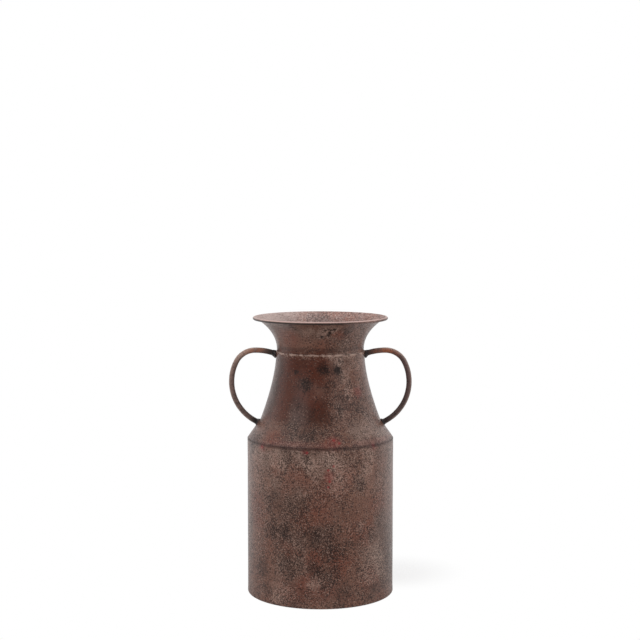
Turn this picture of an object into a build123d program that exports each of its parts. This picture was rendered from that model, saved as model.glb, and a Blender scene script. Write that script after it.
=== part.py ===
from build123d import *
import os
from math import cos, radians, sin, tan

# A churn-shaped vase of thin sheet metal with two rod handles.
# The origin is the centre of the foot, +Z is up and the handles lie along X.
# A lean is an angle from the vertical, outwards, in degrees.

# Sheet, rod and fits
sheet = 0.6
rod_diameter = 6.0
lap_clearance = 0.1
wire_clearance = 0.05
weld_gap = 0.05

# Body and base
overall_height = 300.0
body_diameter = 158.5
foot_lip_width = 7.0
foot_bend_radius = 1.2
base_recess = 9.0
base_bend_radius = 2.4
seam_width = 0.8
seam_depth = 0.25

# Shoulder and neck
shoulder_lap = 14.0
corner_bend_radius = 1.8
cone_height = 20.1
crease_diameter = 130.2
crease_bend_radius = 10.0
crease_straight = 3.0
neck_height = 74.4
neck_lean = 20.0
neck_diameter = 95.7

# Mouth and rim
mouth_lap = 10.0
mouth_straight = 1.6
mouth_height = 37.0
mouth_diameter = 145.8
flare_lean = 57.5
rim_wire_diameter = 1.8
rim_wrap = 285.0

# Handles: a rod that leaves the neck and is bent over a crown, an elbow and a long bow
ledge_margin = 0.45
handle_rise = 20.9
crown_radius = 61.6
crown_turn = 22.1
elbow_radius = 22.8
elbow_turn = 62.3
bow_radius = 48.6

# Weld fillets: leg along the wall, reach along the rod, toe at the thin end
upper_weld_leg = 1.6
upper_weld_reach = 4.6
lower_weld_leg = 1.2
lower_weld_reach = 3.0
weld_toe = 0.4

# Heights from the top down: the ledge under the mouth, the crease and the body's top edge
ledge_height = overall_height - mouth_height
crease_height = ledge_height - neck_height
body_height = crease_height - cone_height

# Radii that follow from the sizes above
body_radius = body_diameter / 2
crease_radius = crease_diameter / 2
neck_radius = neck_diameter / 2
rod_radius = rod_diameter / 2
skirt_radius = body_radius - sheet - lap_clearance
base_radius = body_radius - foot_bend_radius - lap_clearance
spigot_radius = neck_radius - sheet - lap_clearance

# The cone runs from the crease down to the body's top edge, and the skirt cuts it short
cone_slope = cone_height / (body_radius - crease_radius)
skirt_top = body_height + (body_radius - skirt_radius) * cone_slope

# The hollow curve of the neck starts just above the crease and ends upright at the ledge
neck_start = (
    crease_radius - crease_straight * tan(radians(neck_lean)),
    crease_height + crease_straight,
)
neck_end = (neck_radius, ledge_height)

# The rim is curled round its wire, and the flare runs into the curl
curl_radius = rim_wire_diameter / 2 + wire_clearance
rim_radius = mouth_diameter / 2 - sheet - curl_radius
rim_height = overall_height - sheet - curl_radius
flare_heading = (sin(radians(flare_lean)), cos(radians(flare_lean)))
curl_start = (
    rim_radius - curl_radius * flare_heading[1],
    rim_height + curl_radius * flare_heading[0],
)
flare_start = (spigot_radius, ledge_height + mouth_straight)

# The rod meets the neck with its top just under the ledge, and is drawn on into the wall
rod_heading = (cos(radians(handle_rise)), sin(radians(handle_rise)))
rod_foot = (neck_radius, ledge_height - ledge_margin - rod_radius / rod_heading[0])
rod_root = (
    rod_foot[0] - rod_diameter * rod_heading[0],
    rod_foot[1] - rod_diameter * rod_heading[1],
)
bow_turn = 180 + handle_rise - crown_turn - elbow_turn


def inside(point, lean):
    """The point one sheet further in, square to a wall with this lean."""
    return (point[0] - sheet * cos(radians(lean)), point[1] + sheet * sin(radians(lean)))


def swept_curve(start, start_lean, end, end_lean):
    """A smooth curve that leaves its start and reaches its end along the given leans."""
    across = (end[0] - start[0]) * cos(radians(end_lean))
    along = (end[1] - start[1]) * sin(radians(end_lean))
    pull = (across - along) / sin(radians(start_lean - end_lean))
    corner = (start[0] + pull * sin(radians(start_lean)), start[1] + pull * cos(radians(start_lean)))
    return Bezier(start, corner, end)


def curved_sheet(start, start_lean, end, end_lean):
    """Outline of one sheet along such a curve, with its thickness on the inside."""
    outer = swept_curve(start, start_lean, end, end_lean)
    inner = swept_curve(inside(start, start_lean), start_lean, inside(end, end_lean), end_lean)
    Line(outer @ 0, inner @ 0)
    Line(outer @ 1, inner @ 1)


def shoulder_line():
    """Outside of the shoulder from the foot of its skirt to the start of the neck curve."""
    FilletPolyline(
        (skirt_radius, body_height - shoulder_lap),
        (skirt_radius, skirt_top),
        (crease_radius, crease_height),
        neck_start,
        radius=[corner_bend_radius, crease_bend_radius],
    )


# Rolled body: a straight wall, its lower edge turned in as a flat lip to stand on,
# and the butt seam of the sheet down its back
with BuildPart() as body_shell:
    with BuildSketch(Plane.XZ):
        with BuildLine():
            FilletPolyline(
                (body_radius - foot_lip_width, 0),
                (body_radius, 0),
                (body_radius, body_height),
                radius=foot_bend_radius,
            )
            offset(amount=sheet, side=Side.LEFT)
        make_face()
    revolve(axis=Axis.Z)
    with Locations((0, body_radius, (body_height + foot_bend_radius) / 2)):
        Box(seam_width, 2 * seam_depth, body_height - foot_bend_radius, mode=Mode.SUBTRACT)

# Base: a recessed disc with a turned-down rim that stands on the foot lip
with BuildPart() as base_pan:
    with BuildSketch(Plane.XZ):
        with BuildLine():
            FilletPolyline(
                (base_radius, sheet),
                (base_radius, base_recess + sheet),
                (0, base_recess + sheet),
                radius=base_bend_radius,
            )
            offset(amount=sheet, side=Side.LEFT)
        make_face()
    revolve(axis=Axis.Z)

# Shoulder: a skirt inside the body's top, the cone, the crease and the hollow neck
with BuildPart() as shoulder_cone:
    with BuildSketch(Plane.XZ):
        with BuildLine():
            shoulder_line()
            offset(amount=sheet, side=Side.LEFT)
        make_face()
        with BuildLine():
            curved_sheet(neck_start, -neck_lean, neck_end, 0)
        make_face()
    revolve(axis=Axis.Z)

# Mouth: a spigot inside the neck, the trumpet flare and the curled rim
with BuildPart() as mouth_flare:
    with BuildSketch(Plane.XZ):
        with BuildLine():
            Line((spigot_radius, ledge_height - mouth_lap), flare_start)
            offset(amount=sheet, side=Side.LEFT)
        make_face()
        with BuildLine():
            curved_sheet(flare_start, 0, curl_start, flare_lean)
        make_face()
        with BuildLine():
            curl_inner = JernArc(curl_start, flare_heading, curl_radius, -rim_wrap)
            curl_outer = JernArc(
                inside(curl_start, flare_lean), flare_heading, curl_radius + sheet, -rim_wrap
            )
            Line(curl_inner @ 0, curl_outer @ 0)
            Line(curl_inner @ 1, curl_outer @ 1)
        make_face()
    revolve(axis=Axis.Z)

# Wire ring inside the curled rim
with BuildPart() as rim_wire:
    with Locations((0, 0, rim_height)):
        Torus(rim_radius, rim_wire_diameter / 2)

# The vase's outside as one filled shape, a weld gap larger, to trim the handles by
with BuildPart() as vase_core:
    with BuildSketch(Plane.XZ.shift_origin((weld_gap, 0, 0))):
        with BuildLine():
            shoulder_line()
            swept_curve(neck_start, -neck_lean, neck_end, 0)
            Polyline(
                neck_end,
                (neck_radius, overall_height),
                (0, overall_height),
                (0, body_height - shoulder_lap),
                (skirt_radius, body_height - shoulder_lap),
            )
        make_face()
    revolve(axis=Axis.Z)
    Cylinder(body_radius + weld_gap, body_height, align=(Align.CENTER, Align.CENTER, Align.MIN))

# Centre line of the right handle
with BuildLine(Plane.XZ) as rod_line:
    root = Line(rod_root, rod_foot)
    crown = JernArc(root @ 1, root % 1, crown_radius, -crown_turn)
    elbow = JernArc(crown @ 1, crown % 1, elbow_radius, -elbow_turn)
    bow = JernArc(elbow @ 1, elbow % 1, bow_radius, -bow_turn)


def bent_rod(radius):
    """A round bar along the handle's centre line."""
    with BuildPart() as bar:
        with BuildSketch(Plane(origin=rod_line.line @ 0, z_dir=rod_line.line % 0)):
            Circle(radius)
        sweep(path=rod_line.line)
    return bar.part


rod = bent_rod(rod_radius)
rod_space = bent_rod(rod_radius + weld_gap)

with BuildPart() as right_handle:
    add(rod)
    add(vase_core.part, mode=Mode.SUBTRACT)

with BuildPart() as left_handle:
    mirror(right_handle.part, about=Plane.YZ)

# The rod's free run ends where its centre line meets the wall
upper_run = (crown - vase_core.part).edge()
lower_run = (bow - vase_core.part).edge()


def weld_fillet(seat, outward, leg, reach):
    """A ring of weld metal round a rod end, trimmed to the wall and to the rod."""
    with BuildPart() as ring:
        with BuildSketch(Plane(origin=seat, x_dir=outward, z_dir=(0, 1, 0))):
            with BuildLine():
                slope = RadiusArc(
                    (reach, rod_radius + weld_toe), (0, rod_radius + leg), -(leg + reach)
                )
                Polyline(
                    slope @ 1,
                    (-rod_diameter, rod_radius + leg),
                    (-rod_diameter, 0),
                    (reach, 0),
                    slope @ 0,
                )
            make_face()
        revolve(axis=Axis(seat, outward))
        add(vase_core.part, mode=Mode.SUBTRACT)
        add(rod_space, mode=Mode.SUBTRACT)
    return ring.part


upper_weld = weld_fillet(upper_run @ 0, upper_run % 0, upper_weld_leg, upper_weld_reach)
lower_weld = weld_fillet(lower_run @ 1, -(lower_run % 1), lower_weld_leg, lower_weld_reach)

with BuildPart() as upper_handle_welds:
    add(upper_weld)
    mirror(upper_weld, about=Plane.YZ)

with BuildPart() as lower_handle_welds:
    add(lower_weld)
    mirror(lower_weld, about=Plane.YZ)

pieces = {
    "body_shell": body_shell,
    "base_pan": base_pan,
    "shoulder_cone": shoulder_cone,
    "mouth_flare": mouth_flare,
    "rim_wire": rim_wire,
    "right_handle": right_handle,
    "left_handle": left_handle,
    "upper_handle_welds": upper_handle_welds,
    "lower_handle_welds": lower_handle_welds,
}
os.makedirs("parts", exist_ok=True)
for name, piece in pieces.items():
    piece.part.label = name
    export_step(piece.part, f"parts/{name}.step")
    print(name, len(piece.part.solids()), round(piece.part.volume, 2))
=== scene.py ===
# %% [markdown]
# # A churn vase in sheet metal
# The object is a flower vase in the shape of a small milk churn. It is soldered together
# from thin sheet: a rolled body, a coned shoulder with a hollow neck and a trumpet mouth
# with a rolled rim. Two ears of bent rod are welded to it. The solids of the frame already
# have the true sizes, so this lesson keeps their places, models the sheets, rods and welds
# again with the marks that hand work leaves, and then gives every surface its finish.

# %% Load the solids
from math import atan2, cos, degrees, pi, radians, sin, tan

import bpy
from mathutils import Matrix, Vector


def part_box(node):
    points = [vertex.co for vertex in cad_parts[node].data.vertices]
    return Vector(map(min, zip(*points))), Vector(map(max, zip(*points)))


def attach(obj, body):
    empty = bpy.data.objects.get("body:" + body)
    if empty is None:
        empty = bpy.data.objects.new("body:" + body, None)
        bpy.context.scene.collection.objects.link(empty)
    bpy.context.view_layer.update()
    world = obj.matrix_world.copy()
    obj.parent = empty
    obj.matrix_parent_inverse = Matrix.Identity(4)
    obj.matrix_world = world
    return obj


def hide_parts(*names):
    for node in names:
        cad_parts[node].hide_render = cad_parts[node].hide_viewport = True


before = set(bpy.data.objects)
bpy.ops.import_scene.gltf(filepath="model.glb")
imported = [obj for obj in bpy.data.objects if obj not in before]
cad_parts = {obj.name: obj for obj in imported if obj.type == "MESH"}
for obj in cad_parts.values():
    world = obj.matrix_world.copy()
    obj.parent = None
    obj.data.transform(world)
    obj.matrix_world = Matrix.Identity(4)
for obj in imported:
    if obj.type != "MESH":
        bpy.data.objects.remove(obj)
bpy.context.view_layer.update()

# %% [markdown]
# ## Letting the solids go
# The vase keeps its true size, whatever is done to its surface. Loading leaves the solids
# selected, and an operator acts on all that is selected, so they are let go.

mm = 0.001
bpy.ops.object.select_all(action="DESELECT")
print("Solids:", ", ".join(sorted(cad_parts)))

# %% [markdown]
# ## Sizes
# Whatever a solid's box can tell is read from the frame: the body's radius and top edge,
# the ledge where the mouth enters the neck, the outside of the rim. The rest are the sizes
# of bends and slopes, which a box doesn't show. They are written once, in millimetres.

# %% Sizes from the frame and of the bends
body_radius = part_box("body_shell")[1].x
body_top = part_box("body_shell")[1].z
skirt_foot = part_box("shoulder_cone")[0].z
skirt_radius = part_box("shoulder_cone")[1].x
ledge_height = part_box("shoulder_cone")[1].z
spigot_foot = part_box("mouth_flare")[0].z
mouth_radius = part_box("mouth_flare")[1].x
overall_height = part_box("mouth_flare")[1].z

sheet = 0.6 * mm
lap_clearance = 0.1 * mm
foot_lip = 7.0 * mm
foot_bend = 1.2 * mm
corner_bend = 1.8 * mm
crease_radius = 65.1 * mm
crease_height = 188.6 * mm
crease_bend = 10.0 * mm
neck_start_height = crease_height + 3.0 * mm
neck_lean = 20.0
neck_radius = 47.85 * mm
spigot_radius = neck_radius - sheet - lap_clearance
flare_start_height = ledge_height + 1.6 * mm
flare_lean = 57.5
curl_radius = 0.95 * mm
curl_turn = 285.0
print(f"Body {body_radius / mm:.1f} mm radius, ledge {ledge_height / mm:.1f} mm high")

# %% [markdown]
# ## Drawing with one vertex
# A vessel of sheet metal is the same all round, so it can be drawn as half a cross-section
# and turned about its axis. A Screw modifier would do that too, but the profile still has
# to be drawn. Here a plane is merged to one vertex, and that vertex is the pen: extruding
# it draws a straight run, and spinning it round a bend's centre draws an exact arc. A
# quadratic curve gives the hollow neck and the flare, which have no single radius.

# %% The pen and its strokes
def start_profile(name, radius, height):
    """One vertex on the right of the axis, in edit mode, as the start of a cross-section."""
    bpy.ops.object.select_all(action="DESELECT")
    bpy.ops.mesh.primitive_plane_add(size=sheet, location=(radius, 0, height))
    bpy.ops.object.transform_apply(location=True)
    bpy.context.object.name = name
    bpy.ops.object.mode_set(mode="EDIT")
    bpy.ops.mesh.merge(type="CENTER")
    return Vector((radius, 0, height))


def line_to(tip, end, steps=1):
    """Extrudes the pen in equal steps to its new place."""
    for _ in range(steps):
        bpy.ops.mesh.extrude_vertices_move(TRANSFORM_OT_translate={"value": (end - tip) / steps})
    return end


def turned(arm, turn):
    """A vector in the drawing plane, turned anticlockwise as seen from the front."""
    c, s = cos(radians(turn)), sin(radians(turn))
    return Vector((arm.x * c - arm.z * s, 0, arm.x * s + arm.z * c))


def bend(tip, centre, turn, steps):
    """Spins the pen round a bend's centre; a positive turn is anticlockwise."""
    bpy.ops.mesh.spin(steps=steps, angle=radians(turn), center=centre, axis=(0, 1, 0))
    return centre + turned(tip - centre, turn)


def curve_to(tip, corner, end, steps):
    """Draws a curve that starts towards the corner and arrives from it."""
    start = tip
    for step in range(1, steps + 1):
        t = step / steps
        tip = line_to(tip, start * (1 - t) ** 2 + corner * 2 * t * (1 - t) + end * t**2)
    return tip


print("Strokes of the pen: line_to, bend and curve_to")

# %% [markdown]
# ## From a profile to a sheet
# Spinning the whole profile once round the axis gives a skin without thickness. Its start
# and end meet, so the doubles are merged, and the normals are made to face outwards before
# a Solidify modifier adds the 0.6 mm of sheet on the inner side. Sheet that was rolled and
# beaten by hand is never quite true: a Displace modifier with a broad cloud texture presses
# the skin in by a fraction of a millimetre, never out, so that the outline keeps its size.

# %% Turning, denting and thickening
segments_around = 256
same_place = 0.01 * mm
dent_depth = 0.35 * mm
edge_round = 0.12 * mm
smooth_angle = radians(40)

dents = bpy.data.textures.new("hand_beaten_sheet", "CLOUDS")
dents.noise_scale = 38 * mm
dents.noise_depth = 1


def turn_round():
    """Spins the profile once about the vertical axis and leaves a clean skin, in object mode."""
    bpy.ops.mesh.select_all(action="SELECT")
    bpy.ops.mesh.spin(steps=segments_around, angle=2 * pi, center=(0, 0, 0), axis=(0, 0, 1))
    bpy.ops.mesh.select_all(action="SELECT")
    bpy.ops.mesh.remove_doubles(threshold=same_place)
    bpy.ops.mesh.normals_make_consistent(inside=False)
    bpy.ops.object.mode_set(mode="OBJECT")
    return bpy.context.object


def apply_modifier(piece, kind, **settings):
    """Adds one modifier, sets it and applies it."""
    modifier = piece.modifiers.new(kind.title(), kind)
    for name, value in settings.items():
        setattr(modifier, name, value)
    bpy.ops.object.modifier_apply(modifier=modifier.name)


def make_sheet(piece, low, high):
    """Dents the skin between two heights, thickens it inwards and rounds its cut edges."""
    free = [v.index for v in piece.data.vertices if low < v.co.z < high]
    piece.vertex_groups.new(name="free").add(free, 1.0, "REPLACE")
    apply_modifier(
        piece, "DISPLACE", texture=dents, texture_coords="LOCAL", vertex_group="free",
        strength=dent_depth, mid_level=1.0,
    )
    piece.vertex_groups.clear()
    for _ in ("outside", "inside"):
        bpy.ops.object.material_slot_add()
    apply_modifier(
        piece, "SOLIDIFY", thickness=sheet, offset=-1.0, use_even_offset=True, material_offset=1
    )
    apply_modifier(piece, "BEVEL", width=edge_round, segments=2, limit_method="ANGLE")
    bpy.ops.object.shade_smooth_by_angle(angle=smooth_angle)


def measured(piece):
    """Prints a piece's size and how many faces it has."""
    size = [round(side / mm, 2) for side in piece.dimensions]
    print(f"{piece.name}: {size} mm, {len(piece.data.polygons)} faces")


print(f"Sheet of {sheet / mm:.1f} mm with dents of up to {dent_depth / mm:.2f} mm")

# %% [markdown]
# ## The body
# The body is a rectangle of sheet rolled to a tube, with its lower edge turned in as a flat
# lip to stand on. A cylinder primitive would have neither the lip nor its bend, so the
# profile starts at the lip's inner edge, goes round the bend and climbs the wall in short
# steps, which give the dents something to move.

# %% Rolled body
tip = start_profile("vase_body", body_radius - foot_lip, 0)
tip = line_to(tip, Vector((body_radius - foot_bend, 0, 0)), steps=2)
tip = bend(tip, Vector((body_radius - foot_bend, 0, foot_bend)), 90, steps=6)
line_to(tip, Vector((body_radius, 0, body_top)), steps=34)
body = turn_round()
measured(body)

# %% [markdown]
# The rolled sheet closes in a straight butt seam down the back. A dark line of paint would
# do from afar, but a real groove catches the light: the column of edges at the back is
# bevelled into two narrow strips, and the line between them is pushed in by a quarter of a
# millimetre. The vertices are selected by their place, since nothing can be clicked on.

# %% Butt seam down the back
seam_width = 0.8 * mm
seam_depth = 0.25 * mm


def at_back(vertex):
    """True on the line down the back of the wall."""
    return abs(vertex.co.x) < same_place and vertex.co.y > 0 and vertex.co.z > 0.9 * foot_bend


def select_where(piece, test):
    """Selects the vertices that pass a test, and the edges between them, in edit mode."""
    bpy.ops.object.mode_set(mode="EDIT")
    bpy.ops.mesh.select_mode(type="VERT")
    bpy.ops.mesh.select_all(action="DESELECT")
    bpy.ops.object.mode_set(mode="OBJECT")
    for vertex in piece.data.vertices:
        vertex.select = test(vertex)
    bpy.ops.object.mode_set(mode="EDIT")


select_where(body, at_back)
bpy.ops.mesh.select_mode(type="EDGE")
bpy.ops.mesh.bevel(offset=seam_width / 2, segments=2, affect="EDGES")
select_where(body, at_back)
bpy.ops.transform.translate(value=(0, -seam_depth, 0))
bpy.ops.object.mode_set(mode="OBJECT")
make_sheet(body, 3 * foot_bend, body_top)
measured(body)

# %% [markdown]
# ## The shoulder and the neck
# The shoulder is one spun piece. Its skirt slips inside the body, a small bend turns it
# into the cone, and a wide soft bend at the crease leads into the hollow neck, which ends
# upright at the ledge. Stacked cones would show hard rings at the bends, so each bend is
# spun, and its centre follows from the slopes on both sides of it.

# %% Spun shoulder
upwards = Vector((0, 0, 1))
cone_turn = degrees(atan2(body_radius - crease_radius, crease_height - body_top))
skirt_top = body_top + (body_radius - skirt_radius) / tan(radians(cone_turn))
corner_trim = corner_bend * tan(radians(cone_turn / 2))
crease_turn = neck_lean - cone_turn
crease_trim = crease_bend * tan(radians(-crease_turn / 2))
crease = Vector((crease_radius, 0, crease_height))
cone_up = turned(upwards, cone_turn)
neck_up = turned(upwards, neck_lean)
neck_start = crease + neck_up * ((neck_start_height - crease_height) / neck_up.z)
neck_corner = neck_start + neck_up * ((neck_radius - neck_start.x) / neck_up.x)

tip = start_profile("vase_shoulder", skirt_radius, skirt_foot)
tip = line_to(tip, Vector((skirt_radius, 0, skirt_top - corner_trim)), steps=3)
tip = bend(tip, tip - Vector((corner_bend, 0, 0)), cone_turn, steps=5)
tip = line_to(tip, crease - cone_up * crease_trim, steps=6)
tip = bend(tip, tip + turned(cone_up, -90) * crease_bend, crease_turn, steps=5)
tip = line_to(tip, neck_start, steps=2)
curve_to(tip, neck_corner, Vector((neck_radius, 0, ledge_height)), steps=26)
shoulder = turn_round()
measured(shoulder)

# %% [markdown]
# The neck's top edge was cut by hand and shows as a ragged ledge under the mouth. The
# vertices of that ring are shaken a little. Moving each by hand would do as well, but the
# operator has a seed, so that each run gives the same edge.

# %% Ragged ledge
ledge_rag = 0.16 * mm
select_where(shoulder, lambda vertex: vertex.co.z > ledge_height - same_place)
bpy.ops.transform.vertex_random(offset=ledge_rag, seed=4)
bpy.ops.object.mode_set(mode="OBJECT")
make_sheet(shoulder, skirt_foot - sheet, ledge_height - 2 * sheet)
measured(shoulder)

# %% [markdown]
# ## The mouth
# The mouth is a trumpet: a short spigot inside the neck, a flare whose curve opens ever
# wider, and a rim curled outwards round a wire. A torus on the edge would look alike from
# afar. The curl is one spin of the pen by more than three quarters of a turn instead, so
# the roll is hollow as on the real vase, with the sheet's cut edge tucked in underneath.
# The recalculated normals point into the trumpet here, so they are flipped.

# %% Trumpet mouth and curled rim
rim = Vector((mouth_radius - sheet - curl_radius, 0, overall_height - sheet - curl_radius))
flare_up = turned(upwards, -flare_lean)
curl_start = rim - turned(flare_up, -90) * curl_radius
flare_start = Vector((spigot_radius, 0, flare_start_height))
flare_corner = curl_start - flare_up * ((curl_start.x - spigot_radius) / flare_up.x)

tip = start_profile("vase_mouth", spigot_radius, spigot_foot)
tip = line_to(tip, flare_start, steps=4)
tip = curve_to(tip, flare_corner, curl_start, steps=24)
bend(tip, rim, -curl_turn, steps=20)
mouth = turn_round()
bpy.ops.object.mode_set(mode="EDIT")
bpy.ops.mesh.flip_normals()
bpy.ops.object.mode_set(mode="OBJECT")
make_sheet(mouth, ledge_height, overall_height - 6 * curl_radius)
measured(mouth)

# %% [markdown]
# ## The handles
# Each ear is one length of round rod, bent over a wide crown, a tight elbow and a long bow.
# A bevelled curve would give the same tube, but spinning a circle round the three bends'
# centres keeps the real radii and gives a mesh at once. First the rod's sizes, and where it
# leaves the neck: with its top just under the ledge.

# %% The rod's centre line
rod_radius = 3.0 * mm
rod_rise = 20.9
crown_radius = 61.6 * mm
crown_turn = 22.1
elbow_radius = 22.8 * mm
elbow_turn = 62.3
bow_radius = 48.6 * mm
bow_turn = 180 + rod_rise - crown_turn - elbow_turn
ledge_margin = 0.45 * mm

sideways = Vector((1, 0, 0))
rod_out = turned(sideways, rod_rise)
rod_foot = Vector((neck_radius, 0, ledge_height - ledge_margin - rod_radius / rod_out.x))
rod_root = rod_foot - rod_out * 2 * rod_radius
print(f"Rod leaves the neck {rod_foot.z / mm:.1f} mm above the foot, rising {rod_rise} degrees")

# %% [markdown]
# The rod starts as a circle inside the wall, square to its heading. It is extruded out to
# the wall's face, and each Spin then carries its end round one bend. All three bends turn
# clockwise as seen from the front, until the rod runs back into the shoulder.

# %% Bend the rod
rod_sides = 32


def spin_rod(tip, out, radius, turn, steps):
    """Carries the rod's end round one bend, clockwise, and returns its new end and heading."""
    centre = tip + turned(out, -90) * radius
    bpy.ops.mesh.spin(steps=steps, angle=radians(-turn), center=centre, axis=(0, 1, 0))
    return centre + turned(tip - centre, -turn), turned(out, -turn)


bpy.ops.object.select_all(action="DESELECT")
bpy.ops.mesh.primitive_circle_add(
    vertices=rod_sides, radius=rod_radius, location=rod_root, rotation=(0, radians(90 - rod_rise), 0)
)
right_rod = bpy.context.object
right_rod.name = "right_rod"
bpy.ops.object.transform_apply(location=True, rotation=True)
bpy.ops.object.mode_set(mode="EDIT")
bpy.ops.mesh.extrude_region_move(TRANSFORM_OT_translate={"value": rod_foot - rod_root})
tip, out = spin_rod(rod_foot, rod_out, crown_radius, crown_turn, steps=10)
tip, out = spin_rod(tip, out, elbow_radius, elbow_turn, steps=16)
bow_centre = tip + turned(out, -90) * bow_radius
spin_rod(tip, out, bow_radius, bow_turn, steps=44)
bpy.ops.object.mode_set(mode="OBJECT")
measured(right_rod)

# %% [markdown]
# Both ends still reach into the vase. Bisect cuts the mesh with a plane, throws the inner
# part away and fills the hole. The planes lie a little inside the wall's face, because a
# flat cut on a round wall would leave slits beside the rod. A Boolean would follow the wall
# exactly, but it leaves a messier mesh, and the welds cover the place anyway.

# %% Cut the rod off along the wall
upper_seat = Vector((48.0 * mm, 0, 259.4 * mm))
upper_wall = turned(sideways, 2.1)
lower_seat = Vector((67.75 * mm, 0, 184.9 * mm))
lower_wall = turned(sideways, cone_turn)
wall_bite = 0.3 * mm


def cut_at_wall(seat, outward):
    """Cuts the mesh a little inside the wall's face and keeps what is outside."""
    bpy.ops.mesh.select_all(action="SELECT")
    bpy.ops.mesh.bisect(
        plane_co=seat - outward * wall_bite, plane_no=outward, use_fill=True, clear_inner=True
    )


bpy.ops.object.mode_set(mode="EDIT")
cut_at_wall(upper_seat, upper_wall)
cut_at_wall(lower_seat, lower_wall)
bpy.ops.mesh.select_all(action="SELECT")
bpy.ops.mesh.remove_doubles(threshold=same_place)
bpy.ops.mesh.normals_make_consistent(inside=False)
bpy.ops.object.mode_set(mode="OBJECT")
measured(right_rod)

# %% [markdown]
# The second ear is a mirrored copy with its own mesh. A mirror turns a mesh inside out, so
# its normals are made right again. Both rods then get a little unevenness of their own from
# the same kind of cloud texture, finer than on the sheet. Smoothing acts on what is
# selected and a modifier on what is active, so each rod is made both before its turn.

# %% Mirror the rod and make both uneven
rod_dent_depth = 0.12 * mm
rod_dents = bpy.data.textures.new("drawn_rod", "CLOUDS")
rod_dents.noise_scale = 9 * mm


def take_up(piece):
    """Makes a piece the only one that operators act on."""
    bpy.ops.object.select_all(action="DESELECT")
    piece.select_set(True)
    bpy.context.view_layer.objects.active = piece


def mirrored_copy(piece, name):
    """A copy of a piece on the other side of the vase, with its own mesh."""
    take_up(piece)
    bpy.ops.object.duplicate(linked=False)
    copy = bpy.context.object
    copy.name = name
    bpy.ops.object.mode_set(mode="EDIT")
    bpy.ops.mesh.select_all(action="SELECT")
    bpy.ops.transform.resize(value=(-1, 1, 1), center_override=(0, 0, 0))
    bpy.ops.mesh.normals_make_consistent(inside=False)
    bpy.ops.object.mode_set(mode="OBJECT")
    return copy


left_rod = mirrored_copy(right_rod, "left_rod")
for rod in (right_rod, left_rod):
    take_up(rod)
    apply_modifier(
        rod, "DISPLACE", texture=rod_dents, texture_coords="LOCAL",
        strength=rod_dent_depth, mid_level=1.0,
    )
    bpy.ops.object.shade_smooth_by_angle(angle=smooth_angle)
    measured(rod)

# %% [markdown]
# The two sides of an ear are painted differently: a highlight is painted on its outside,
# and shade on top of the grime on its inside. A place in space can't tell the two sides of
# a thin rod apart, so each vertex stores how much it faces away from the middle of the
# loop. The rod's finish reads that attribute later. A UV map could carry the same, but a
# number per vertex needs no unwrap.

# %% Note which side of the rod faces out
loop_middle = Vector((66 * mm, 0, 226 * mm))


def note_outside(rod, side):
    """Stores on each vertex how much it faces away from the middle of the ear's loop."""
    facing = rod.data.attributes.new("outside", "FLOAT", "POINT").data
    for vertex, stored in zip(rod.data.vertices, facing):
        away = Vector((side * vertex.co.x, 0, vertex.co.z)) - loop_middle
        normal = Vector((side * vertex.normal.x, 0, vertex.normal.z))
        stored.value = normal.dot(away.normalized())
    print(f"{rod.name}: side noted on {len(facing)} vertices")


note_outside(right_rod, 1)
note_outside(left_rod, -1)

# %% [markdown]
# ## The welds
# A rod that is welded on sits in a collar of metal that ran and froze. Each bead starts as
# a circle wider than the rod, is extruded along it while it shrinks in a hollow slope, and
# is cut along the wall like the rod. A torus would stand on the wall like a washer.

# %% A weld bead
weld_root = 2.5 * mm
weld_sink = 0.15 * mm
bead_steps = 7
bead_hollow = 1.7


def weld_bead(name, seat, out, wall, leg, reach):
    """A collar of weld metal round the rod's end, with its flat side on the wall."""
    width = rod_radius + leg
    bpy.ops.object.select_all(action="DESELECT")
    bpy.ops.mesh.primitive_circle_add(
        vertices=rod_sides, radius=width, location=seat - out * weld_root,
        rotation=(0, atan2(out.x, out.z), 0),
    )
    bpy.context.object.name = name
    bpy.ops.object.transform_apply(location=True, rotation=True)
    bpy.ops.object.mode_set(mode="EDIT")
    bpy.ops.mesh.extrude_region_move(TRANSFORM_OT_translate={"value": out * weld_root})
    for step in range(1, bead_steps + 1):
        slope = (1 - step / bead_steps) ** bead_hollow
        shrink = (rod_radius - weld_sink + leg * slope) / width
        width *= shrink
        bpy.ops.mesh.extrude_region_move(TRANSFORM_OT_translate={"value": out * (reach / bead_steps)})
        bpy.ops.transform.resize(value=(shrink, shrink, shrink))
    bpy.ops.mesh.edge_face_add()
    cut_at_wall(seat, wall)
    bpy.ops.mesh.select_all(action="SELECT")
    bpy.ops.mesh.normals_make_consistent(inside=False)
    bpy.ops.object.mode_set(mode="OBJECT")
    return bpy.context.object


lower_out = turned(lower_seat - bow_centre, 90).normalized()
upper_beads = weld_bead(
    "upper_weld_beads", upper_seat, rod_out, upper_wall, leg=1.7 * mm, reach=5.5 * mm
)
measured(upper_beads)
lower_beads = weld_bead(
    "lower_weld_beads", lower_seat, lower_out, lower_wall, leg=1.2 * mm, reach=3.0 * mm
)
measured(lower_beads)

# %% [markdown]
# Frozen metal is lumpy. A Subdivision Surface gives the neat fillet enough vertices, and a
# Displace with a fine cloud moves them in and out. Each bead is mirrored first and joined
# with its copy, so that the two sides of the vase get lumps of their own. Sculpting would
# give such lumps too, but not the same ones in each run.

# %% Lumps on both sides
weld_lump_height = 0.9 * mm
weld_lumps = bpy.data.textures.new("frozen_weld", "CLOUDS")
weld_lumps.noise_scale = 2.6 * mm

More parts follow.
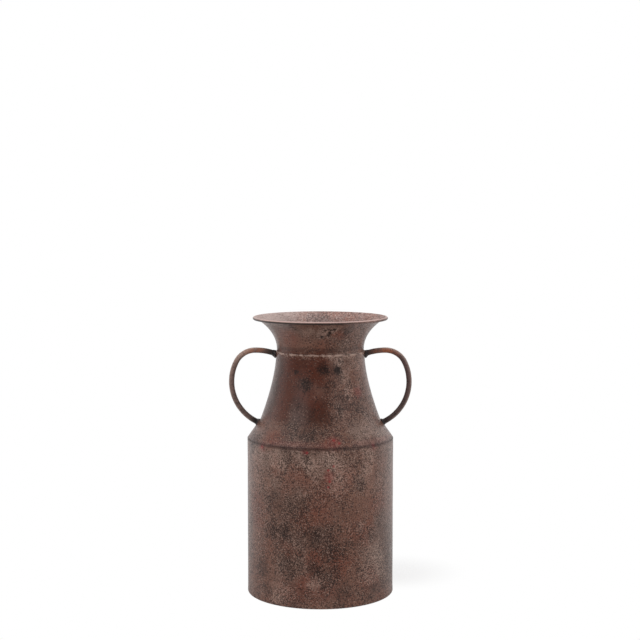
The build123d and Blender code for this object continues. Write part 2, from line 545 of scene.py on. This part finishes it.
for bead in (upper_beads, lower_beads):
    mirrored_copy(bead, bead.name + "_left")
    bead.select_set(True)
    bpy.context.view_layer.objects.active = bead
    bpy.ops.object.join()
    apply_modifier(bead, "SUBSURF", levels=2, render_levels=2)
    apply_modifier(
        bead, "DISPLACE", texture=weld_lumps, texture_coords="LOCAL",
        strength=weld_lump_height, mid_level=0.5,
    )
    bpy.ops.object.shade_smooth()
    measured(bead)

# %% [markdown]
# ## What each piece stands for
# The new pieces take the place of the solids that they were measured from, which stay in
# the frame unseen. The base and the wire in the rim already have the right shape, so they
# stay as they are and only get a finish.

# %% Fasten the pieces to the frame
stands_for = {
    body: ("body_shell", "patina_sheet"),
    shoulder: ("shoulder_cone", "patina_sheet"),
    mouth: ("mouth_flare", "patina_sheet"),
    right_rod: ("right_handle", "copper_rod"),
    left_rod: ("left_handle", "copper_rod"),
    upper_beads: ("upper_handle_welds", "weld_metal"),
    lower_beads: ("lower_handle_welds", "weld_metal"),
}
for piece, (node, slot) in stands_for.items():
    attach(piece, "root")
    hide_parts(node)
print(len(stands_for), "pieces modelled again,", len(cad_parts) - len(stands_for), "kept")

# %% [markdown]
# ## A way to write finishes
# Each finish is a node tree, and most of it is arithmetic on masks. The class below wraps
# one socket, so that Python's own signs add the Math nodes: 1 - mask, or dirt * 0.5. Every
# other node comes from one method, which takes the node's type, its settings and then the
# values or links of its sockets. Placing the nodes by hand gives the same tree, but a mask
# that is written as a line of sums can be read and changed at a glance.

# %% Sockets that Python can reckon with
class Socket:
    """One socket of a finish's node tree."""

    def __init__(self, tree, socket):
        self.tree = tree
        self.socket = socket

    def node(self, kind, settings, inputs, output=0):
        """Adds a node to the same tree and returns one of its outputs."""
        made = self.tree.nodes.new(kind)
        for name, value in settings.items():
            setattr(made, name, value)
        for name, value in inputs.items():
            if isinstance(value, Socket):
                self.tree.links.new(value.socket, made.inputs[name])
            else:
                made.inputs[name].default_value = value
        return Socket(self.tree, made.outputs[output])

    def sibling(self, output):
        """Another output of the same node."""
        return Socket(self.tree, self.socket.node.outputs[output])

    def maths(self, operation, first, second):
        """A Math node with two values."""
        return self.node("ShaderNodeMath", {"operation": operation}, {0: first, 1: second})

    def __add__(self, other):
        return self.maths("ADD", self, other)

    def __sub__(self, other):
        return self.maths("SUBTRACT", self, other)

    def __rsub__(self, other):
        return self.maths("SUBTRACT", other, self)

    def __mul__(self, other):
        return self.maths("MULTIPLY", self, other)

    __radd__ = __add__
    __rmul__ = __mul__

    def larger(self, other):
        """The larger of two masks, so that they meet without adding up."""
        return self.maths("MAXIMUM", self, other)

    def between(self, low, high):
        """0 at the low value, 1 at the high one and a soft step in between."""
        return self.node(
            "ShaderNodeMapRange", {"interpolation_type": "SMOOTHSTEP"},
            {"Value": self, "From Min": low, "From Max": high},
        )

    def band(self, low, high, blur):
        """1 between two values, fading out over the blur on both sides."""
        return self.between(low - blur, low) * (1 - self.between(high, high + blur))


print("A socket takes + - * and has larger, between and band")

# %% [markdown]
# Noise is the raw stuff of the finishes. Clouds give drifting tones, stipple gives the fine
# grain of a dry brush, and shaken coordinates make the edge of a drawn mark ragged. Each has
# a seed, so that no two layers look alike, and a size in metres on the real vase. An image
# would need unwrapping and would show its seams.

# %% Clouds, stipple and marks
class Surface(Socket):
    """The object's own coordinates, on which patterns are laid out."""

    def vector(self, operation, *values):
        """Vector arithmetic on these coordinates."""
        inputs = dict(enumerate((self,) + values))
        made = self.node("ShaderNodeVectorMath", {"operation": operation}, inputs)
        return Surface(self.tree, made.socket)

    def part(self, axis):
        """One of the three coordinates."""
        return self.node("ShaderNodeSeparateXYZ", {}, {0: self}, axis)

    def cloud(self, size, seed, detail=2.0, output="Fac"):
        """Soft noise with lumps of about the given size."""
        inputs = {"Vector": self, "W": seed, "Scale": 1 / size, "Detail": detail}
        return self.node("ShaderNodeTexNoise", {"noise_dimensions": "4D"}, inputs, output)

    def shaken(self, size, amount, seed):
        """The coordinates pushed about by noise, so that what is drawn on them turns ragged."""
        push = self.cloud(size, seed, 3.0, "Color")
        push = Surface(self.tree, push.socket).vector("SUBTRACT", (0.5, 0.5, 0.5))
        return self.vector("ADD", push.vector("MULTIPLY", (amount, amount, amount)))

    def stipple(self, size, seed, amount):
        """Fine grain: noise that is cut off at a level, which sinks where the amount is high."""
        return (self.cloud(size, seed, 1.0) + amount * 0.3).between(0.58, 0.67)

    def brought_round(self):
        """The back half turned to the front, so that marks on the front show on the back too."""
        behind = self.part("Y").between(-mm, mm)
        turn = 1 - behind * 2
        turn = turn.node("ShaderNodeCombineXYZ", {}, {0: turn, 1: turn, 2: 1.0})
        return self.vector("MULTIPLY", turn)

    def distance(self, point):
        """How far the surface is from a point."""
        return self.node("ShaderNodeVectorMath", {"operation": "DISTANCE"}, {0: self, 1: point}, "Value")

    def mark(self, point, reach):
        """1 at a point of the surface, falling softly to 0 at the reach."""
        return 1 - self.distance(point).between(0.2 * reach, 1.15 * reach)


print("A surface has cloud, stipple, shaken and mark")

# %% [markdown]
# A finish is built up as a painter builds it: one colour over another, each as thick as its
# mask. Colours are written as they look on a screen, 0 to 255, and turned into the linear
# values that a shader takes. The last two helpers feed a shader and put the finish on.

# %% Paint, layers and shaders
bump_strength = 0.5


def paint(red, green, blue):
    """A colour as it looks on a screen, turned into the linear one that a shader takes."""
    return tuple((part / 255) ** 2.2 for part in (red, green, blue)) + (1.0,)


def layer(under, mask, over):
    """One colour over another, as thick as the mask."""
    return mask.node("ShaderNodeMix", {"data_type": "RGBA"}, {0: mask, 6: under, 7: over}, 2)


def new_finish(name):
    """A material, its object coordinates and its shader."""
    material = bpy.data.materials.new(name)
    material.use_nodes = True
    tree = material.node_tree
    place = Surface(tree, tree.nodes.new("ShaderNodeTexCoord").outputs["Object"])
    return material, place, tree.nodes["Principled BSDF"]


def connect(shader, colour, roughness, relief, depth):
    """Feeds a shader: colour, roughness and a relief that is bumped by the given depth."""
    inputs = {"Strength": bump_strength, "Distance": depth, "Height": relief}
    bumps = relief.node("ShaderNodeBump", {}, inputs)
    for name, value in (("Base Color", colour), ("Roughness", roughness), ("Normal", bumps)):
        value.tree.links.new(value.socket, shader.inputs[name])


def dress(slot, material, *pieces):
    """Puts a finish into one material slot of each piece."""
    for piece in pieces:
        while len(piece.data.materials) <= slot:
            piece.data.materials.append(None)
        piece.data.materials[slot] = material
    print(f"{material.name}: {len(material.node_tree.nodes)} nodes on {len(pieces)} pieces")


print("Mid grey 128 becomes", round(paint(128, 128, 128)[0], 3))

# %% [markdown]
# ## Marks listed one by one
# Some marks catch the eye: round spots high on the neck, a smear under the rim, drips of red
# lead. They can't be left to noise. Each is named by its angle from the front, its height
# and its reach. Painting vertices would place them too, but only as finely as the mesh. A
# ray from outside finds the wall, so that a mark sits on the surface where it was dented.

# %% Find a place on the wall
def on_wall(angle, height):
    """The point of the outer wall at an angle from the front, to the right, and a height."""
    outward = Vector((sin(radians(angle)), -cos(radians(angle)), 0))
    start = outward * 2 * body_radius + Vector((0, 0, height * mm))
    hits = [piece.ray_cast(start, -outward) for piece in (body, shoulder, mouth)]
    points = [point for hit, point, *_ in hits if hit]
    return min(points, key=lambda point: (point - start).length)


def marks(place, list_of_marks):
    """All the marks of a list as one mask."""
    mask = None
    for angle, height, reach in list_of_marks:
        one = place.mark(on_wall(angle, height), reach * mm)
        mask = one if mask is None else mask.larger(one)
    return mask


print("The wall in front, 100 mm up, lies at", [round(part / mm, 2) for part in on_wall(0, 100)])

# %% [markdown]
# The lists give degrees to the right of the front, millimetres above the foot and a reach
# in millimetres, roughly where the real vase has such a mark. The large soft ones only
# steer where the noise gathers, so that no two look alike.

# %% Spots, soot, rust, wear and red lead
neck_spots = [
    (4, 248, 8.5), (22, 247, 5), (-17, 232, 10), (-31, 244, 3.5),
    (5, 290, 2.4), (8, 291, 2.8), (11, 290, 2.8), (14, 291, 2.6),
    (10, 287, 2.6), (9, 284.5, 2.4), (2, 282.5, 2.6),
]
soot_clouds = [
    (30, 289, 10), (22, 246, 12), (32, 150, 13), (-36, 111, 20), (-16, 104, 18), (-42, 81, 16),
    (32, 133, 12), (14, 66, 26), (9, 34, 20), (-53, 35, 14), (-48, 14, 12), (-24, 47, 16),
    (45, 15, 10), (19, 20, 18), (-62, 244, 20), (-68, 226, 18), (-66, 207, 16), (-9, 160, 9),
    (-26, 82, 16), (-8, 78, 18), (-6, 42, 12), (8, 58, 18), (-67, 170, 16), (0, 188, 20),
    (-12, 182, 16), (22, 213, 16), (38, 205, 16), (14, 197, 12), (-29, 183, 14), (10, 229, 12),
    (4, 203, 12), (6, 212, 16), (-25, 194, 16), (-10, 196, 14), (-18, 190, 18), (-24, 205, 18),
    (-12, 204, 12), (46, 75, 12),
]
rust_patches = [
    (-21, 138, 24), (11, 124, 20), (0, 102, 22), (-12, 90, 18), (20, 139, 18), (-5, 53, 20),
    (15, 45, 20), (-10, 27, 20), (2, 20, 20), (42, 29, 20), (-57, 100, 26), (35, 80, 20),
    (50, 108, 18), (-22, 60, 18), (-25, 14, 20), (-36, 146, 16), (-44, 176, 18), (8, 174, 14),
    (-14, 218, 26), (-10, 242, 24), (-30, 240, 22), (-50, 236, 22), (-52, 216, 22),
    (-14, 208, 16), (-24, 210, 16), (45, 221, 12), (24, 282, 11), (-40, 280, 20),
]
# Worn areas are wear; those on the right of the cone, about 175 to 190 mm up, are also a painted
# reflection of the light from the right.
worn_and_lit_areas = [
    (4, 157, 18), (30, 183, 10), (26, 257, 9), (43, 263, 9), (12, 260, 9), (50, 252, 14),
    (33, 86, 10), (32, 241, 14), (36, 223, 14), (11, 150, 18), (44, 186, 18), (62, 178, 24),
    (-36, 157, 14), (40, 158, 18), (-55, 158, 18), (16, 132, 24), (38, 144, 14), (44, 45, 30),
    (41, 29, 14), (0, 287, 14), (34, 271, 9), (48, 269, 8), (30, 175, 14), (-30, 13, 20),
    (-3, 147, 18), (1, 157, 14), (-14, 156, 10), (-6, 27, 12), (-14, 289, 12), (14, 291, 10),
]
red_flecks = [
    (-51, 167, 2.6), (-10, 165, 2.0), (11, 177, 2.2), (6, 147, 1.8), (7, 135, 1.8), (6, 129, 1.6),
    (10, 151, 1.8), (45, 169, 2.6), (15, 174, 2.0),
]
red_blushes = [(49, 223, 8), (11, 174, 10), (-51, 167, 7), (45, 169, 7), (-12, 166, 5), (7, 140, 7)]
print(len(soot_clouds), "soot clouds,", len(rust_patches), "rust patches,", len(worn_and_lit_areas), "worn areas")

# %% [markdown]
# ## The patina on the sheet
# The sheet is painted to look like old rusted tin: a mauve brown ground that drifts to grey,
# rust-red patches, soft clouds of soot, rubbed places, and dark and pale grain over all of
# it. The pattern lies on the object's coordinates, so it runs on from the mouth to the body
# without a break and follows the vase when it moves.

# %% Paints and places of the patina
mauve = paint(112, 76, 62)
grey_brown = paint(97, 73, 63)
umber = paint(73, 30, 13)
rust = paint(108, 55, 38)
charcoal = paint(30, 24, 21)
grain_brown = paint(43, 22, 12)
soot = paint(48, 31, 24)
# Pale colour of wear, also used for painted highlights and a painted reflection.
pale_wear_and_highlight = paint(170, 143, 130)
red_lead = paint(140, 30, 36)
# Dark seam colour, also used for painted shade above the ledge and under the rim.
seam_dirt_and_shade = paint(52, 32, 28)

patina, place, patina_shader = new_finish("patina_sheet")
height = place.part("Z")
across = place.part("X")
upright = place.vector("MULTIPLY", (1.0, 1.0, 0.7))
ragged = place.shaken(16 * mm, 24 * mm, 2.2).brought_round()
print("Ground colour, linear:", [round(part, 3) for part in mauve[:3]])

# %% [markdown]
# Rust, soot and wear gather in soft clouds. Noise alone would put them anywhere, and marks
# alone would look like stamps, so the two are added and cut off at a level: the noise shapes
# the edges and the marks say where. The ragged coordinates carry the marks to the back too.

# %% Where rust, soot and wear gathered
mark_weight = 0.8


def gathered(cloud, weight, list_of_marks, low, high):
    """A cloud that thickens round the marks of a list, from 0 at a low sum to 1 at a high one."""
    return (cloud * weight + marks(ragged, list_of_marks) * mark_weight).between(low, high)


drift = upright.cloud(60 * mm, 1.3, 3.0).between(0.40, 0.60)
rusty = gathered(upright.cloud(26 * mm, 4.7, 4.0), 2.0, rust_patches, 0.9, 2.0)
sooty = gathered(upright.cloud(18 * mm, 9.2, 5.0), 2.4, soot_clouds, 1.1, 2.5)
# Rubbed is wear, and on the right of the cone also a painted reflection.
rubbed = gathered(upright.cloud(24 * mm, 7.6, 4.0), 2.2, worn_and_lit_areas, 1.0, 2.3)
spots = marks(place.shaken(4 * mm, 4 * mm, 3.1), neck_spots)
print("Nodes so far:", len(patina.node_tree.nodes))

# %% [markdown]
# The grain is a dry brush dabbed all over. It is thin where the paint was wiped smooth, on
# the left of the neck and the flare, and thick where soot gathered. The neck's top edge is
# chipped. Real specks would be thousands of dots, so noise that is cut off stands for them.

# %% Smooth stretches and grain
smooth_neck = height.band(198 * mm, 262 * mm, 12 * mm) * (1 - across.between(-2 * mm, 26 * mm))
smooth_flare = height.between(262 * mm, 268 * mm) * (0.7 - across.between(-15 * mm, 15 * mm) * 0.5)
smooth_cone = place.mark(on_wall(-46, 178), 26 * mm) * 0.4
smooth = smooth_neck.larger(smooth_flare).larger(smooth_cone)
brushed = upright.cloud(16 * mm, 6.6, 3.0).between(0.38, 0.56)
grainy = (1 - smooth * 0.75) * (0.52 + brushed * 0.48)
chipped = height.band(259.5 * mm, 263 * mm, 3 * mm) * 0.35
dark_grain = place.stipple(1.2 * mm, 1.7, 0.4 * grainy + sooty * 0.14 + spots * 0.5 - 0.04)
pale_grain = place.stipple(1.15 * mm, 4.4, 0.5 * grainy + (rubbed * 0.2).larger(chipped) - 0.28)
print("Nodes so far:", len(patina.node_tree.nodes))

# %% [markdown]
# Now the colours go on from the ground up. Each factor is how thickly a coat covers at most.
# Streaks are clouds pulled long in height, as paint that ran. The upper body is painted a
# little lighter as a whole.

# %% Coats of paint
streaks = place.vector("MULTIPLY", (1.0, 1.0, 0.2)).cloud(9 * mm, 2.9, 3.0)
lightened = height.between(60 * mm, 150 * mm) * (1 - height.between(165 * mm, 172 * mm)) * 0.1
flecks = marks(place.shaken(2 * mm, 2 * mm, 8.8), red_flecks)

colour = layer(mauve, drift, grey_brown)
colour = layer(colour, streaks.between(0.4, 0.75) * 0.3, umber)
colour = layer(colour, rusty * 0.7, rust)
colour = layer(colour, smooth_neck * 0.74, umber)
colour = layer(colour, sooty * 0.58, soot)
colour = layer(colour, spots * 0.52, charcoal)
# Wear, pale grain and the lighter upper body; on the right of the cone also a painted reflection.
colour = layer(colour, rubbed * 0.29 + pale_grain * 0.4 + lightened, pale_wear_and_highlight)
colour = layer(colour, dark_grain * (0.76 + sooty * 0.1 + spots * 0.25), grain_brown)
colour = layer(colour, flecks * 0.68, red_lead)
print("Nodes so far:", len(patina.node_tree.nodes))

# %% [markdown]
# Where sheets meet, dirt and red lead collect: in the seam at the shoulder and in the butt
# seam at the back. Painted shade darkens a band in the hollow above the ledge, and a painted
# shadow runs under the rim. The ledge itself is rubbed pale and painted lighter as a highlight.
# Clean bands would look printed, so a cloud makes them wobble and another one breaks them.

# %% Seams, ledge and rim
wobble = place.cloud(5 * mm, 5.5, 3.0)
broken = place.cloud(4 * mm, 7.1, 3.0).between(0.36, 0.62)
level = height + wobble * 3 * mm - 1.5 * mm
seam = level.band(167.9 * mm, 169.4 * mm, 2.4 * mm)
# Painted shade in the hollow above the ledge.
band = level.band(267.2 * mm, 268.8 * mm, 2.4 * mm)
# Painted shadow on the flare just under the rolled rim.
shadow_under_rim = height.between(295.9 * mm, 297.2 * mm) * (0.4 + broken * 0.6)
at_seam = 1 - place.vector("ABSOLUTE").part("X").between(0.3 * mm, 0.9 * mm)
butt_seam = at_seam * place.part("Y").between(0, mm)
butt_seam = butt_seam * (1 - height.between(168 * mm, 169 * mm)) * (0.4 + broken * 0.6)
# Dirt in the seams, with painted shade above the ledge and under the rim.
dirt_and_shade = (seam * 0.58 + band * 0.35).larger(shadow_under_rim * 0.6).larger(butt_seam * 0.7)
blush = level.band(170 * mm, 173 * mm, 4 * mm) * drift
blush = (blush * 0.12).larger(marks(place.shaken(6 * mm, 8 * mm, 1.8), red_blushes) * 0.22)
# The ledge's top edge: wear, and a painted highlight where it catches the light.
ledge = (height + wobble * 2.4 * mm).band(262.9 * mm, 264.2 * mm, 0.7 * mm) * broken

colour = layer(colour, blush, red_lead)
colour = layer(colour, dirt_and_shade, seam_dirt_and_shade)
colour = layer(colour, ledge * 0.8, pale_wear_and_highlight)
print("Nodes so far:", len(patina.node_tree.nodes))

# %% [markdown]
# The paint is satin: dark grain is a little rougher, pale grain a little smoother. Both also
# stand out as a faint relief. Grain this fine would need millions of faces, so a Bump node
# gives it. The base has the same finish, since it is the same painted sheet.

# %% Put the patina on
grain_depth = 0.15 * mm
rough = 0.34 + dark_grain * 0.14 - pale_grain * 0.06
connect(patina_shader, colour, rough, dark_grain * 0.8 - pale_grain * 0.5, grain_depth)
dress(0, patina, body, shoulder, mouth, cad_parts["base_pan"])

# %% [markdown]
# ## The inside of the mouth
# Inside, the paint is thinner and paler, palest on the left; part of that paleness is a
# painted reflection of the light from above. Painted shade darkens it deep down, and there
# is soot and one smudge at the back. Solidify gave the inner wall a material slot of its
# own, so that it can have its own finish without a second piece.

# %% Paint on the inside
darkest_below = 284 * mm
unshaded_above = 298 * mm


def inside_paint(place, dark_grain, sooty, left):
    """The inner wall's colour: grain, soot, a pale left side and painted shade deep down."""
    drift = place.cloud(40 * mm, 3.3, 4.0).between(0.4, 0.62)
    pale_grain = place.stipple(1.4 * mm, 5.4, 0.2 + left * 0.3)
    # Painted shade: the inner wall darkens downwards from 298 mm to 284 mm.
    deep = 1 - place.part("Z").between(darkest_below, unshaded_above)
    # The pale colours of the inner wall stand partly for a painted reflection of the light above.
    colour = layer(paint(142, 112, 105), drift, paint(144, 98, 84))
    colour = layer(colour, left * 0.5, paint(178, 156, 150))
    colour = layer(colour, pale_grain * 0.52, paint(200, 180, 172))
    colour = layer(colour, (deep * 0.3 + sooty * 0.15).larger(dark_grain * 0.68), charcoal)
    return colour, pale_grain


print(f"Inside darkens from {unshaded_above / mm:.0f} mm down to {darkest_below / mm:.0f} mm")

# %% [markdown]
# The curled rim is the same side of the sheet, rolled outwards. Its crown is rubbed pale and
# painted lighter as a highlight, painted shade darkens the underside of the roll, and its
# two ends are painted darker. The distance from the vase's axis tells the roll from the
# wall, because nothing else reaches out so far.

# %% Paint on the rolled rim
def rim_paint(place, colour):
    """The colour of the roll, over that of the inner wall."""
    height = place.part("Z")
    flat = place.vector("MULTIPLY", (1.0, 1.0, 0.0))
    reach = flat.node("ShaderNodeVectorMath", {"operation": "LENGTH"}, {0: flat}, "Value")
    roll = reach.between(70.4 * mm, 71.2 * mm)
    # Painted highlight, with wear, along the top of the roll.
    crown = roll * height.between(298.8 * mm, 299.4 * mm)
    # Painted shade on the underside of the roll, weaker towards the right.
    under = roll * (1 - height.between(298.3 * mm, 299.0 * mm))
    under = under * (1 - place.part("X").between(15 * mm, 50 * mm) * 0.6)
    ends = place.vector("ABSOLUTE").part("X").between(55 * mm, 70 * mm)
    tips = reach.between(71.9 * mm, 72.7 * mm) * ends
    colour = layer(colour, roll * 0.5, mauve)
    colour = layer(colour, crown * 0.8, paint(200, 168, 160))
    return layer(colour, (tips * 0.5).larger(under * 0.88), charcoal)


def inside_patina():
    """The thinner, paler paint on the inside and the rim's roll, with painted light and shade."""
    material, place, shader = new_finish("patina_inside")
    smudge = place.shaken(12 * mm, 14 * mm, 5.2).mark((0, 64 * mm, 289 * mm), 17 * mm)
    sooty = place.cloud(24 * mm, 6.2, 4.0).between(0.45, 0.7).larger(smudge * 0.8)
    left = 1 - place.part("X").between(-45 * mm, -5 * mm)
    dark_grain = place.stipple(1.4 * mm, 2.7, 0.15 + sooty * 0.4 - left * 0.3)
    colour, pale_grain = inside_paint(place, dark_grain, sooty, left)
    colour = rim_paint(place, colour)
    connect(shader, colour, 0.45 + dark_grain * 0.15, dark_grain - pale_grain * 0.5, grain_depth)
    return material


dress(1, inside_patina(), body, shoulder, mouth)

# %% [markdown]
# ## The finish of the rods
# The ears are rubbed copper brown, brightest over the crown, where a hand takes hold and a
# painted highlight runs along the top, grey brown down the bow and burnt black for a
# finger's breadth at the welds. The left ear is paler than the right one. Both share one
# material: the sign of X tells them apart, and the stored attribute tells the outside of a
# rod, painted lighter as a highlight, from its inside, painted darker as shade on the grime.

# %% Rod finish
copper = paint(156, 92, 64)
rod_brown = paint(95, 74, 71)
pale_rod = paint(122, 98, 90)
# Grime colour, also used as painted shade on the inside of the rods.
grime_and_shade = paint(60, 46, 42)
burnt = paint(30, 27, 26)
grit_depth = 0.1 * mm


def rod_finish():
    """Rubbed copper-brown rod, black at the welds, with a painted highlight outside and painted shade
    inside.
    """
    material, place, shader = new_finish("copper_rod")
    side = place.vector("ABSOLUTE")
    height = place.part("Z")
    left = 1 - place.part("X").between(-mm, mm)
    facing = place.node("ShaderNodeAttribute", {"attribute_name": "outside"}, {}, "Fac")
    streaks = place.cloud(8 * mm, 3.3, 3.0)
    rubbed = side.mark((67 * mm, 0, 265 * mm), 22 * mm) * streaks.between(0.3, 0.55)
    handled = place.shaken(6 * mm, 6 * mm, 7.7).mark((-86 * mm, 0, 262 * mm), 17 * mm)
    scorched = side.shaken(5 * mm, 5 * mm, 4.1).mark(upper_seat, 18 * mm)
    scorched = scorched.larger(side.mark(lower_seat, 12 * mm))
    grimy = (1 - height.between(190 * mm, 245 * mm)) * 0.6 + streaks.between(0.5, 0.7) * 0.35
    grit = place.stipple(1.8 * mm, 6.1, 0.05 + grimy * 0.3)
    # Painted shade on the side of the rod that faces the vase.
    shaded_inner_side = 1 - facing.between(-0.9, 0.1)
    # Painted highlight on the outside of the rod, strongest towards the crown's top.
    painted_highlight = 0.16 + streaks * 0.36 + height.between(252 * mm, 266 * mm) * 0.2
    colour = layer(rod_brown, left, pale_rod)
    colour = layer(colour, rubbed, copper)
    colour = layer(colour, handled * 0.5, pale_wear_and_highlight)
    colour = layer(colour, (grimy * 0.65).larger(shaded_inner_side * 0.5), grime_and_shade)
    colour = layer(colour, facing.between(0.1, 0.9) * painted_highlight, pale_wear_and_highlight)
    colour = layer(colour, (grit * 0.4).larger(scorched * (0.66 + left * 0.26)), burnt)
    connect(shader, colour, 0.34 + grit * 0.15 + scorched * 0.2, grit, grit_depth)
    return material


dress(0, rod_finish(), right_rod, left_rod)

# %% [markdown]
# The welds were left as the torch left them: black scale with some grey-brown grit in it.
# One stippled layer over black is enough, because the lumps of the mesh catch the light.

# %% Weld finish
def weld_finish():
    """Blackened weld metal."""
    material, place, shader = new_finish("weld_metal")
    grit = place.stipple(1.4 * mm, 8.4, 0.35)
    colour = layer(burnt, grit * 0.6, rod_brown)
    connect(shader, colour, 0.42 + grit * 0.2, grit, grit_depth)
    return material


dress(0, weld_finish(), upper_beads, lower_beads)

# %% [markdown]
# The wire is hidden in the rim and was never painted. It is bare drawn steel, so it is the
# only metallic finish here: a fine cloud varies its grey and how dull it is.

# %% Wire finish
def wire_finish():
    """Drawn steel wire inside the rim."""
    material, place, shader = new_finish("wire")
    grain = place.cloud(0.8 * mm, 1.9, 2.0)
    colour = layer(paint(120, 115, 112), grain, paint(95, 88, 84))
    connect(shader, colour, 0.3 + grain * 0.3, grain, 0.05 * mm)
    shader.inputs["Metallic"].default_value = 1.0
    return material


dress(0, wire_finish(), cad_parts["rim_wire"])

# %% [markdown]
# ## Studio
# The vase stands on a white floor in a white room. More light would make them white, but it
# would wash out the vase as well. So what the camera sees of floor and world is plain white
# emission. Reflections see white too, apart from the dim room behind the camera, and round
# walls grow lighter towards their edges by that.

# %% White to the camera, dim in front
dim_front = 0.02
front_to_back = (-0.5, 0.4)


def white_studio(tree, depth):
    """What shows as studio, and how white: 1 to the camera, less to reflections of its front."""
    camera = Socket(tree, tree.nodes.new("ShaderNodeLightPath").outputs["Is Camera Ray"])
    mirrored = camera.sibling("Is Glossy Ray").larger(camera.sibling("Is Transmission Ray"))
    brightness = dim_front + depth.between(*front_to_back) * (1 - dim_front)
    return camera.larger(mirrored), camera.larger(mirrored * brightness)


print("Reflections of the room's front are dimmed to", dim_front)

# %% [markdown]
# The floor keeps the vase's shadow: on the right of the foot, a share of what the camera
# sees is the real floor in the real light. A Mix Shader does that, with the white emission
# on one side and a plain matt floor on the other.

# %% White floor that keeps the shadow
shadow_share = 0.4
shadow_middle = (0.09, 0.075, 0)
shadow_reach = 0.075

bpy.ops.object.select_all(action="DESELECT")
bpy.ops.mesh.primitive_plane_add(size=12)
floor = bpy.context.object
floor.name = "floor"

floor_finish, floor_place, spare_shader = new_finish("white_floor")
tree = floor_finish.node_tree
tree.nodes.remove(spare_shader)
shows, white_level = white_studio(tree, floor_place.part("Y"))
shows = shows * (1 - floor_place.mark(shadow_middle, shadow_reach) * shadow_share)
lit = shows.node("ShaderNodeBsdfDiffuse", {}, {"Color": (0.95, 0.95, 0.95, 1.0)})
white = shows.node("ShaderNodeEmission", {}, {"Color": white_level, "Strength": 1.0})
shown = shows.node("ShaderNodeMixShader", {}, {0: shows, 1: lit, 2: white})
tree.links.new(shown.socket, tree.nodes["Material Output"].inputs["Surface"])
dress(0, floor_finish, floor)

# %% [markdown]
# The world is the rest of the room. It is white where the camera looks past the floor, and
# lights the vase evenly from all round at a plain level, as white walls do.

# %% World
ambient = 0.7
world = bpy.data.worlds.new("studio")
bpy.context.scene.world = world
world.use_nodes = True
tree = world.node_tree
direction = Surface(tree, tree.nodes.new("ShaderNodeTexCoord").outputs["Generated"])
shows, white_level = white_studio(tree, direction.part("Y"))
strength = white_level.larger((1 - shows) * ambient)
tree.links.new(strength.socket, tree.nodes["Background"].inputs["Strength"])
tree.nodes["Background"].inputs["Color"].default_value = (1, 1, 1, 1)
print("World lights at", ambient)

# %% [markdown]
# Three large soft lamps shape the vase: one from the left, one from the right and one from
# above. Area lamps give soft edges, where point lamps would draw hard highlights on the
# round walls. Each is turned to the middle of the vase.

# %% Lamps
aim = Vector((0, 0, overall_height / 2))


def soft_lamp(name, place, size, power):
    """A square area lamp that faces the vase."""
    lamp = bpy.data.lights.new(name, "AREA")
    lamp.size = size
    lamp.energy = power
    holder = bpy.data.objects.new(name, lamp)
    bpy.context.scene.collection.objects.link(holder)
    holder.location = place
    holder.rotation_euler = (aim - holder.location).to_track_quat("-Z", "Y").to_euler()
    print(f"Lamp {name}: {power} W, {size} m wide")


soft_lamp("key", (-1.5, -1.3, 1.5), 1.4, 9)
soft_lamp("fill", (1.6, -1.3, 1.1), 1.6, 7)
soft_lamp("top", (0, 0.1, 2.0), 1.4, 9)

# %% [markdown]
# The camera stands a metre and a half away, a little above the rim, and looks down at a
# small angle, so that the mouth shows as a thin ellipse. A long lens keeps the walls nearly
# parallel. The view transform is Standard, which shows colours as they were written.

# %% Camera at the photograph's angle
look_down = 4.83
camera = bpy.data.cameras.new("camera")
camera.lens = 78.75
camera.sensor_width = 36
holder = bpy.data.objects.new("camera", camera)
bpy.context.scene.collection.objects.link(holder)
holder.location = (-0.00038, -1.5066, 0.4234)
holder.rotation_euler = (radians(90 - look_down), 0, 0)
bpy.context.scene.camera = holder
bpy.context.scene.view_settings.view_transform = "Standard"
print(f"Camera with a lens of {camera.lens} mm looks down by {look_down} degrees")
